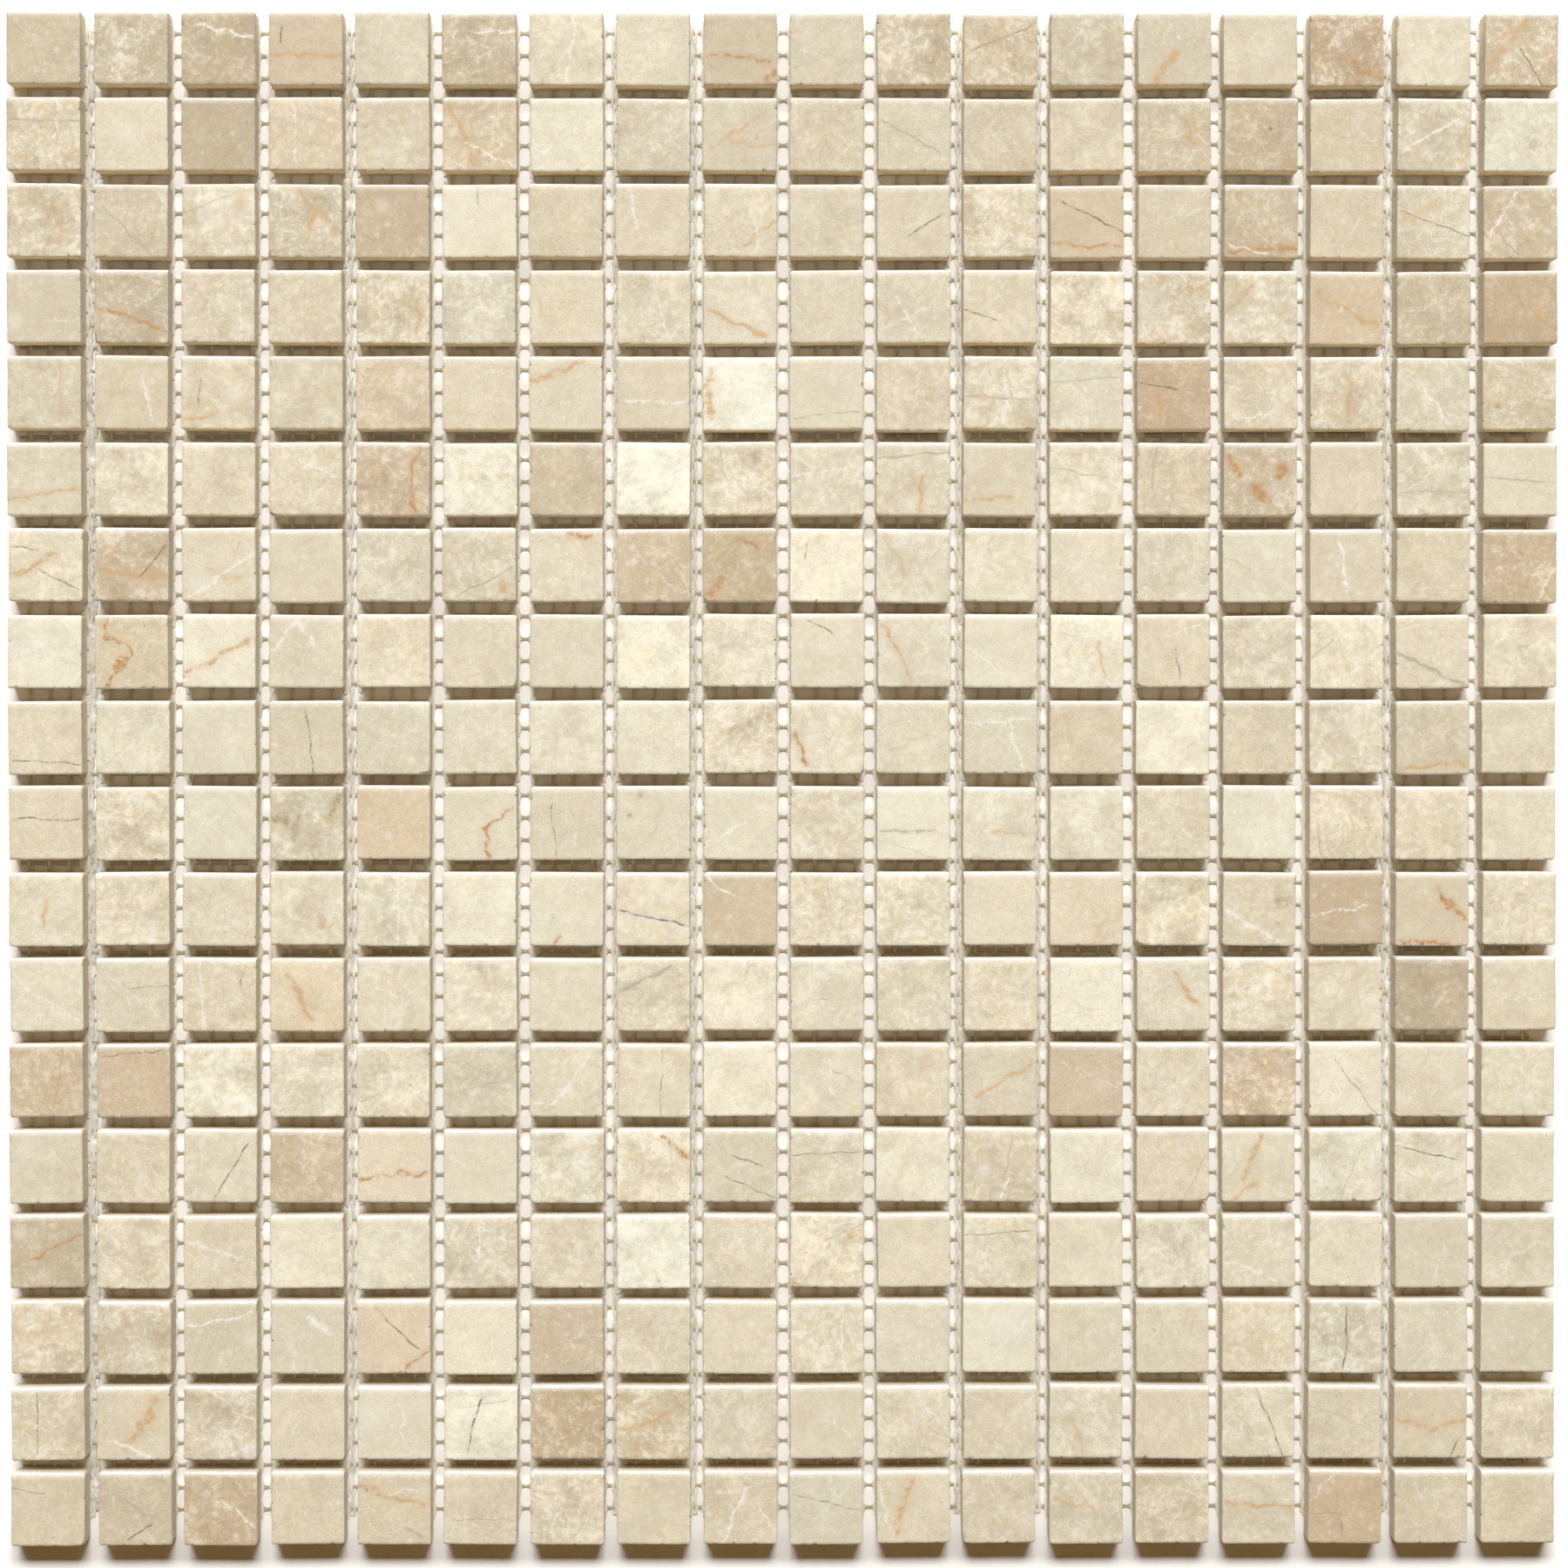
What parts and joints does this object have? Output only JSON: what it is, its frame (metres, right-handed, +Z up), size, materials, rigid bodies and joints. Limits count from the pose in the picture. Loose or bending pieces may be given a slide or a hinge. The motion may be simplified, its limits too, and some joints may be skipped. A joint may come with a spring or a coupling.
{
  "type": "mosaic tile sheet",
  "caption": "Square sheet of small square marble mosaic chips in straight rows with open joints, glued by their backs to a glass-fibre net.",
  "frame": {"origin": "middle of the underside, at the foot of the net", "axes": "+Z up through the honed faces, +Y from the last row of chips to the first, +X along the rows"},
  "size_m": [0.304, 0.301, 0.0076],
  "materials": {
    "marble": "honed cream marble with pale clouds, veins and sawn sides",
    "net": "white glass-fibre yarn stiffened with clear glue"
  },
  "bodies": {
    "root": {"chip_row_01": "marble", "chip_row_02": "marble", "chip_row_03": "marble", "chip_row_04": "marble", "chip_row_05": "marble", "chip_row_06": "marble", "chip_row_07": "marble", "chip_row_08": "marble", "chip_row_09": "marble", "chip_row_10": "marble", "chip_row_11": "marble", "chip_row_12": "marble", "chip_row_13": "marble", "chip_row_14": "marble", "chip_row_15": "marble", "chip_row_16": "marble", "chip_row_17": "marble", "chip_row_18": "marble", "net_warp_under": "net", "net_weft": "net", "net_warp_over": "net"}
  },
  "joints": []
}
